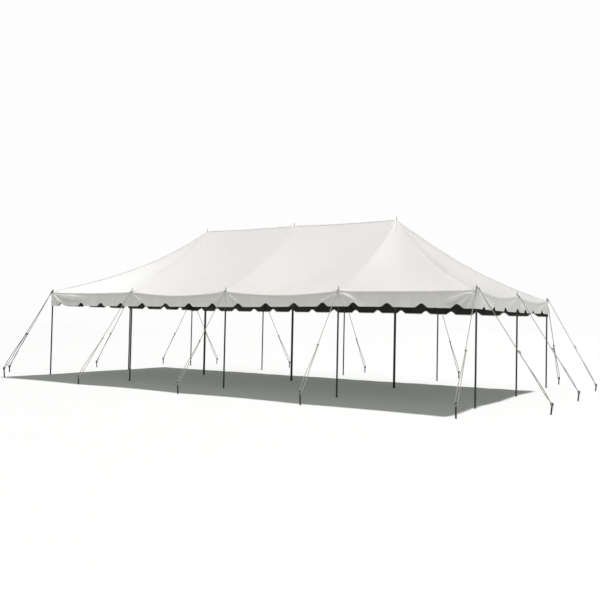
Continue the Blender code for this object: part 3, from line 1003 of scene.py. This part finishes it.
def makeGrommet(name, pin):
    steps = 0.02 * np.array([(0, 1, 0), (0, 0, 1)])
    lift = roofCloth["over"] + trimPlan["patchLift"] + trimPlan["ringLift"]
    middle, east, north = onRoof(pin[0] + steps[0], pin[1] + steps[1], lift)
    up = np.array([0, 0, 1.0])
    if pinKind(pin) != "peak":
        up = unit(np.cross(east - middle, north - middle))
    first = unit(np.cross((0, 1.0, 0), up))
    second = np.cross(up, first)
    rows, columns = trimPlan["ringSteps"]
    rim, turns = (np.arange(count)[:, None] * 2 * pi / count for count in (rows, columns))
    circle = np.cos(turns) * first + np.sin(turns) * second
    reach = trimPlan["ring"] + trimPlan["ringThick"] * np.cos(rim)
    rise = 0.55 * trimPlan["ringThick"] * np.sin(rim)
    points = middle + reach[..., None] * circle + rise[..., None] * up
    faces = [[index % (rows * columns) for index in face]
             for face in gridFaces(rows + 1, columns, True)]
    return finishPiece(makePiece(name, points, faces, [zinc]), "painted_steel_pole")


trims = [makeSeams(), makeRidgeBand(), makeTapes()]
for word, pins in (("pin", sidePins), ("peak", peakPins)):
    for number, pin in enumerate(pins, 1):
        trims.append(makePatch(f"{word}_patch_{number}", pin))
        trims.append(makeGrommet(f"{word}_grommet_{number}", pin))
print("seams, tapes, patches and grommets made")


# Valances

skirtMesh = {"step": 0.0136, "rows": 26}
bindPlan = {
    "middle": 0.001,           # of the cloth, outside the eave line
    # half the section of the tape round the hem
    "outer": ((0.0011, 0.018), (0.0016, 0.012), (0.0016, 0.004), (0.0011, -0.0010), (0, -0.0015)),
    "inner": ((0.0007, 0.018), (0.0008, 0.012), (0.0008, 0.004), (0.0006, 0), (0, -0.0003)),
}


def makeBinding(side, along):
    hem = hemHeight(side, along)
    slope = (hemHeight(side, along + 0.002) - hemHeight(side, along - 0.002)) / 0.004
    steep = np.sqrt(1 + slope ** 2)
    middle = bindPlan["middle"]
    layers = [np.stack([onSkirt(side, along - slope / steep * up, hem + up / steep, middle + out)
                        for out, up in mirrored(bindPlan[layer])]) for layer in ("outer", "inner")]
    piece = makePiece("hem_binding_" + side, *shell(*layers), [binding])
    return finishPiece(piece, "valance_vinyl")


def makeSkirt(side):
    longSide = skirtSides[side][0]
    limit = (edgeLong if longSide else edgeWide) + skirtPlan["outside"]
    if not longSide:
        limit -= skirtPlan["thick"]
    along = np.linspace(-limit, limit, round(2 * limit / skirtMesh["step"]) + 1)
    top = eaveLine(along, longSide)[1] - skirtPlan["tuck"]
    share = np.linspace(0, 1, skirtMesh["rows"] + 1)[:, None]
    height = top + (hemHeight(side, along) - top) * share
    outer, inner = (onSkirt(side, along[None, :], height, skirtPlan["outside"] - depth)
                    for depth in (0, skirtPlan["thick"]))
    points, faces = shell(outer, inner)
    half = 2 * skirtMesh["rows"] * (len(along) - 1)    # faces of one side of the cloth
    slots = [0] * half + [1] * half + [0] * (len(faces) - 2 * half)
    skirt = makePiece("skirt_" + side, points, faces, [skirtVinyl, paintedInside], slots)
    finishPiece(skirt, "valance_vinyl", "valance_" + side)
    hem = makeBinding(side, along[1:-1])
    flatArea = sum(face.area for face in skirt.data.polygons) / 2
    print(side, "valance made:", round(flatArea, 3), "m2")


for side in skirtSides:
    makeSkirt(side)


# Poles

poleMesh = {
    "steps": 32,
    # radius, height of the cloth, and how far over it the tube ends
    "side": (0.019, eaveHeight, -0.0015),
    "centre": (0.030, peakHeight, -0.029),
    # the turned profile: radius and drop of the pin's tip, radius and rise where it leaves the
    # tube, then inset and drop of the tube's rim, inset and height of its foot
    "tip": ((0.0018, 0), (0.0040, 0.0012), (0.0056, 0.006), (pinRadius, 0.014)),
    "pinFoot": ((pinRadius, 0.009), (0.0072, 0.0035), (0.0098, 0.0008), (0.0130, 0)),
    "rim": ((0.0030, 0), (0.0009, 0.0009), (0, 0.0030)),
    "foot": ((0, 0.0030), (0.0010, 0.0008), (0.0030, 0)),
}


def turnedPoints(profile, place, steps, lean=(0.0, 0.0)):
    # a profile of radius and height, turned about an upright or leaning axis
    turns = np.arange(steps) * 2 * pi / steps
    radii, heights = np.array(profile, float).T[..., None]
    return np.stack([place[0] + radii * np.cos(turns) + lean[0] * heights,
                     place[1] + radii * np.sin(turns) + lean[1] * heights,
                     heights + 0 * turns], axis=-1)


def makePole(node, radius, cloth, shoulder):
    middle = middleOf(node)
    tip = cloth + pinStandsUp
    top = cloth + shoulder
    profile = [(reach, tip - drop) for reach, drop in poleMesh["tip"]]
    profile += [(reach, top + rise) for reach, rise in poleMesh["pinFoot"]]
    profile += [(radius - inset, top - drop) for inset, drop in poleMesh["rim"]]
    profile += [(radius, profile[-1][1] * (1 - share)) for share in np.linspace(0.06, 0.94, 12)]
    profile += [(radius - inset, height) for inset, height in poleMesh["foot"]]
    points = turnedPoints(profile, middle, poleMesh["steps"])
    faces = tubeFaces(len(profile), poleMesh["steps"])
    piece = makePiece(node.replace("_pole", "_upright"), points, faces, [polePaint], sharp=50)
    return finishPiece(piece, "painted_steel_pole", node)


for node in frame["nodes"]:
    if "_pole_" in node:
        makePole(node, *poleMesh[node.split("_")[0]])
print("poles made")


# Guy ropes and stakes

guyPlan = {
    "radius": 0.008,
    "pitch": 0.050,            # one turn of a strand
    "step": 0.0058,            # between the rings of the mesh
    # the section of three strands, as degrees round the rope and share of its radius
    "section": ((60, 0.74), (92, 0.985), (148, 0.985), (180, 0.74), (212, 0.985), (268, 0.985),
                (300, 0.74), (332, 0.985), (388, 0.985)),
    "loopLifts": (0.043, 0.068),    # of the loop over the eave, and of a second one at a corner
    "pinSlack": 0.0008,
    "stakeSlack": 0.0006,
    "tieDrop": 0.042,          # from the top of a stake down to its rope
    "lean": tan(radians(6)),   # of a stake, away from the tent
    "hitchShare": 0.56,        # of the way from pin to stake
    "hitchLong": 0.014,        # along the rope
    "seizing": ((0.085, 0.050, 0.010), (-1.25, -1.03, -1.03)),    # down the rope, share aside
    "leaving": ((0.010, 0.050, 0.150), (1.03, 1.03, 0)),
    "wrapRises": (-0.0165, 0.0085),    # round the stake, from below the tie to above it
    "coil": 2.03,              # share of the radius at which the hitch goes round
    # into the hitch, above its turn and degrees round it
    "hitchStart": ((0.30, 0), (0.05, 0), (0.012, 4), (0.006, 18), (0.002, 42)),
    # the free end: ahead, share away from the rope, down and out
    "tail": ((0.017, 0.3, 0, 0), (0.031, 0, 0.015, 0.005), (0.038, 0, 0.056, 0.010)),
    "twine": 0.0017,           # half its thickness
    "twinePitch": 0.0034,
    "twineTurns": 7,
    "twineSteps": 16,          # in each turn
    "twineStart": 0.016,       # below the loop
    "twineReach": (1.16, 2.22),    # shares of the rope's radius, deep and wide
    # these ropes take the lightest tone, those at the right end the mid grey and the others the
    # dark grey; both greys are painted shade
    "lightest": ("front_2", "front_3", "front_4", "front_5"),
    "stakeRadius": 0.016,
    "stakeSteps": 28,
    # head of a stake, as radius and depth below the top
    "stakeHead": ((0.0040, 0.0004), (0.0125, 0.0008), (0.0195, 0.0022), (0.0230, 0.0052),
                  (0.0235, 0.0090), (0.0228, 0.0130), (0.0200, 0.0165), (0.0172, 0.0200),
                  (0.0160, 0.0230)),
    # each stake: reach out from its pin, slip along the eave, height out of the ground
    "front": ((1.49, 0, 0.27), (1.60, -0.11, 0.21), (1.73, 0.08, 0.26), (1.78, 0.16, 0.28),
              (1.73, 0.21, 0.28)),
    "back": ((1.63, -0.10, 0.22), (1.78, -0.04, 0.23), (1.60, -0.04, 0.22), (1.51, 0.13, 0.22),
             (1.45, 0.03, 0.21)),
    "left": ((1.42, -0.27, 0.20), (1.42, 0, 0.22), (1.42, 0.16, 0.22)),
    "right": ((1.42, 0, 0.22), (1.36, -0.07, 0.23), (1.25, -0.11, 0.19)),
}


def guyLines():
    # name, pin and foot of the stake in plan, height of the stake, lift of the loop
    for side, longSide, sign in (("front", True, -1), ("back", True, 1), ("left", False, -1),
                                 ("right", False, 1)):
        for index, (reach, slip, height) in enumerate(guyPlan[side]):
            if longSide:
                pin, away = (bay * index - halfLong, sign * halfWide, 0), (slip, sign * reach, 0)
            else:
                pin, away = (sign * halfLong, bay * (index - 1), 0), (sign * reach, slip, 0)
            second = not longSide and index != 1
            yield (f"{side}_{index + 1}", np.array(pin), np.add(pin, away), height,
                   guyPlan["loopLifts"][second])


def arc(centre, first, second, radius, degrees):
    # points round a centre, from the first direction towards the second
    turns = np.radians(degrees)[:, None]
    return centre + radius * (np.cos(turns) * first + np.sin(turns) * second)


def ropePath(pin, foot, height, lift):
    # over the pin and seized, down to the stake, back up and hitched round itself
    radius = guyPlan["radius"]
    up = np.array([0, 0, 1.0])
    outward = unit(foot - pin)
    across = np.cross(up, outward)
    pinLoop = pinRadius + radius + guyPlan["pinSlack"]
    stakeLoop = guyPlan["stakeRadius"] + radius + guyPlan["stakeSlack"]
    knot = pin + up * (eaveHeight + lift)
    leaned = outward * guyPlan["lean"] + up
    tie = foot + leaned * (height - guyPlan["tieDrop"])
    start = knot + 2 * pinLoop * outward - pinLoop * up
    length = np.linalg.norm(tie - start)
    down = (tie - start) / length
    beside = np.cross(down, across)
    hitch = guyPlan["hitchShare"] * length
    half = guyPlan["hitchLong"] / 2

    def onLine(places, sides):
        # below the loop, and to one side by a share of the rope's radius
        return start + np.outer(places, down) + np.outer(sides, radius * across)

    rises = np.outer(np.linspace(*guyPlan["wrapRises"], 19), leaned)
    aside = 0.96 * stakeLoop * across
    turns = np.arange(75, 361, 30)
    startDrops, startTurns = np.array(guyPlan["hitchStart"]).T
    drops = hitch + np.append(half + startDrops, np.linspace(half, -half, len(turns)))
    coil = arc(start + np.outer(drops, down), across, beside, guyPlan["coil"] * radius,
               np.append(startTurns, turns))
    last, angle = coil[-1], radians(turns[-1])
    ahead = cos(angle) * beside - sin(angle) * across
    away = last - (start + down * (hitch - half))
    tail = [last + ahead * forward + away * share - up * fall + outward * out
            for forward, share, fall, out in guyPlan["tail"]]
    points = [onLine(*guyPlan["seizing"]),
              arc(knot, outward, across, pinLoop, (-65, -105, -145, -185, -225, -265, -295)),
              onLine(*guyPlan["leaving"]),
              onLine((0.4 * hitch, hitch - 0.15, hitch, hitch + 0.12), (0, 0, 0, 0)),
              tie - down * 0.05 - aside,
              arc(tie + rises, outward, across, stakeLoop, np.arange(-90, 451, 30)),
              tie - down * 0.05 + aside, coil, tail]
    return evenPath(np.vstack(points), guyPlan["step"]), start, down, across, beside


def makeRope(name, pin, foot, height, lift):
    radius = guyPlan["radius"]
    path, start, down, across, beside = ropePath(pin, foot, height, lift)
    degrees, shares = np.array(guyPlan["section"]).T
    rope = sweepPoints(path, np.radians(degrees), radius * shares, 2 * pi / guyPlan["pitch"])
    count = guyPlan["twineTurns"]
    angles = np.linspace(0, count * 2 * pi, count * guyPlan["twineSteps"])[:, None]
    drops = guyPlan["twineStart"] + guyPlan["twinePitch"] * angles / (2 * pi)
    deep, wide = guyPlan["twineReach"]
    twine = (start + down * drops + deep * radius * np.sin(angles) * beside
             + wide * radius * np.cos(angles) * across)
    wraps = sweepPoints(twine, np.arange(6) * pi / 3, np.full(6, guyPlan["twine"]))
    ropeFaces = tubeFaces(*rope.shape[:2])
    twineFaces = tubeFaces(*wraps.shape[:2], offset=rope[..., 0].size)
    slots = [0] * len(ropeFaces) + [1] * len(twineFaces)
    # the grey rope tones are painted shade
    finishes = [midGreyRope if name.startswith("right") else darkGreyRope, darkGreyRope]
    if name in guyPlan["lightest"]:
        finishes = [lightestRope, midGreyRope]
    points = np.concatenate([rope.reshape(-1, 3), wraps.reshape(-1, 3)])
    piece = makePiece("rope_" + name, points, ropeFaces + twineFaces, finishes, slots, sharp=80)
    return finishPiece(piece, "guy_rope", "guy_rope_" + name)


def makeStake(name, pin, foot, height):
    lean = guyPlan["lean"] * unit(foot - pin)[:2]
    steps = guyPlan["stakeSteps"]
    profile = [(radius, height - depth) for radius, depth in guyPlan["stakeHead"]]
    radius, neck = profile[-1]
    profile += [(radius, neck * (1 - share)) for share in np.linspace(0.08, 1, 10)]
    points = turnedPoints(profile, (0, 0), steps, lean)
    turns = np.arange(steps) * 2 * pi / steps
    # the struck rim of the head is uneven, and differs from stake to stake
    burr = 1 + 0.030 * np.sin(3 * turns + 9 * height) + 0.018 * np.sin(7 * turns + 5 * pin[0])
    axis = np.array(profile)[:, None, 1:] * lean
    points[3:7, :, :2] = axis[3:7] + (points[3:7, :, :2] - axis[3:7]) * burr[:, None] * 0.98
    points[:, :, :2] += foot[:2]
    piece = makePiece("peg_" + name, points, tubeFaces(len(profile), steps), [stakeSteel], sharp=60)
    return finishPiece(piece, "stake_steel", "stake_" + name)


for name, pin, foot, height, lift in guyLines():
    makeRope(name, pin, foot, height, lift)
    makeStake(name, pin, foot, height)
print("guy ropes and stakes made")


# Floor and light

studio = {
    "floor": (0.90, 0.90, 0.895),
    "floorReach": 200.0,
    "sky": 0.12,
    "backdrop": 0.985,
    # strength, direction towards the light, softness in degrees or size, colour
    "key": (2.72, (0.035, -0.05, 1), 30, (1.0, 0.988, 0.970)),
    "rightSide": (0.425, (1, -0.05, 0.62), 50, (0.955, 0.975, 1.0)),
    "leftSide": (0.06, (-1, 0, 0.3), 60, (1, 1, 1)),
    "backSide": (0.15, (0, 1, 0.3), 60, (1, 1, 1)),
    "floorLight": (3.2, (0.02, 0.687, 1), 3, (1.0, 0.98, 1.0)),    # makes the shadow of the cloth
    "floorFill": (0.58, (0, 0, 1), 90, (0.90, 1.0, 0.885)),    # lifts that shadow
    "leftBox": (61.0, (-3.7, 0.7, 2.7), 3.4, (0.86, 0.94, 1.0)),
    "leftBoxPlace": (-8.0, -0.8, 5.6),
}


def addLamp(name, kind="SUN", blockers=None):
    # with blockers it lights only the floor, without them all but the floor
    strength, direction, size, colour = studio[name]
    lamp = addObject(name, bpy.data.lights.new(name, kind))
    lamp.data.energy = strength
    lamp.data.color = colour
    lamp.rotation_euler = Vector(direction).to_track_quat("Z", "Y").to_euler()
    if kind == "SUN":
        lamp.data.angle = radians(size)
    else:
        lamp.data.size = size
    lit = bpy.data.collections.new(name + "_lights")
    lit.objects.link(floor)
    lamp.light_linking.receiver_collection = lit
    if blockers:
        shade = bpy.data.collections.new(name + "_shade")
        for piece in blockers:
            shade.objects.link(piece)
        lamp.light_linking.blocker_collection = shade
    else:
        lit.collection_objects[0].light_linking.link_state = "EXCLUDE"
    return lamp


def addFloor():
    shader = PieceShader("pale_floor", 0.9)
    pale, reach = studio["floor"], studio["floorReach"]
    tone = tuple(0.985 * part for part in pale)
    material = shader.finish(shader.blend(tone, (pale, shader.noise(0.6, 3.0))))
    corners = [(-reach, -reach, 0), (reach, -reach, 0), (reach, reach, 0), (-reach, reach, 0)]
    floor = makePiece("floor", corners, [[0, 1, 2, 3]], [material])
    floor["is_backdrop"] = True
    return floor


def addSky():
    # the camera sees the pale backdrop, while the soft sky lights the tent
    scene.world = bpy.data.worlds.new("studio")
    world = ShaderTree(scene.world)
    seen = world.node("ShaderNodeLightPath", output="Is Camera Ray")
    sky, backdrop = (world.node("ShaderNodeBackground",
                                values={"Color": (1, 1, 1), "Strength": studio[name]})
                     for name in ("sky", "backdrop"))
    mixed = world.node("ShaderNodeMixShader", values={0: seen, 1: sky, 2: backdrop})
    world.plug(world.tree.nodes["World Output"].inputs[0], mixed)


floor = addFloor()
addSky()
for name in ("key", "rightSide", "leftSide", "backSide"):
    addLamp(name)
box = addLamp("leftBox", "AREA")
box.location = studio["leftBoxPlace"]
box.visible_camera = False
cloth = [piece for piece in scene.objects if piece.name.startswith(("roof_sheet", "skirt_"))]
addLamp("floorLight", blockers=cloth)
addLamp("floorFill", blockers=[floor])    # nothing shades it
scene.view_settings.view_transform = "Standard"
print("floor and light set")

sizes = [[list(corner) for corner in box] for box in (cadBounds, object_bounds())]
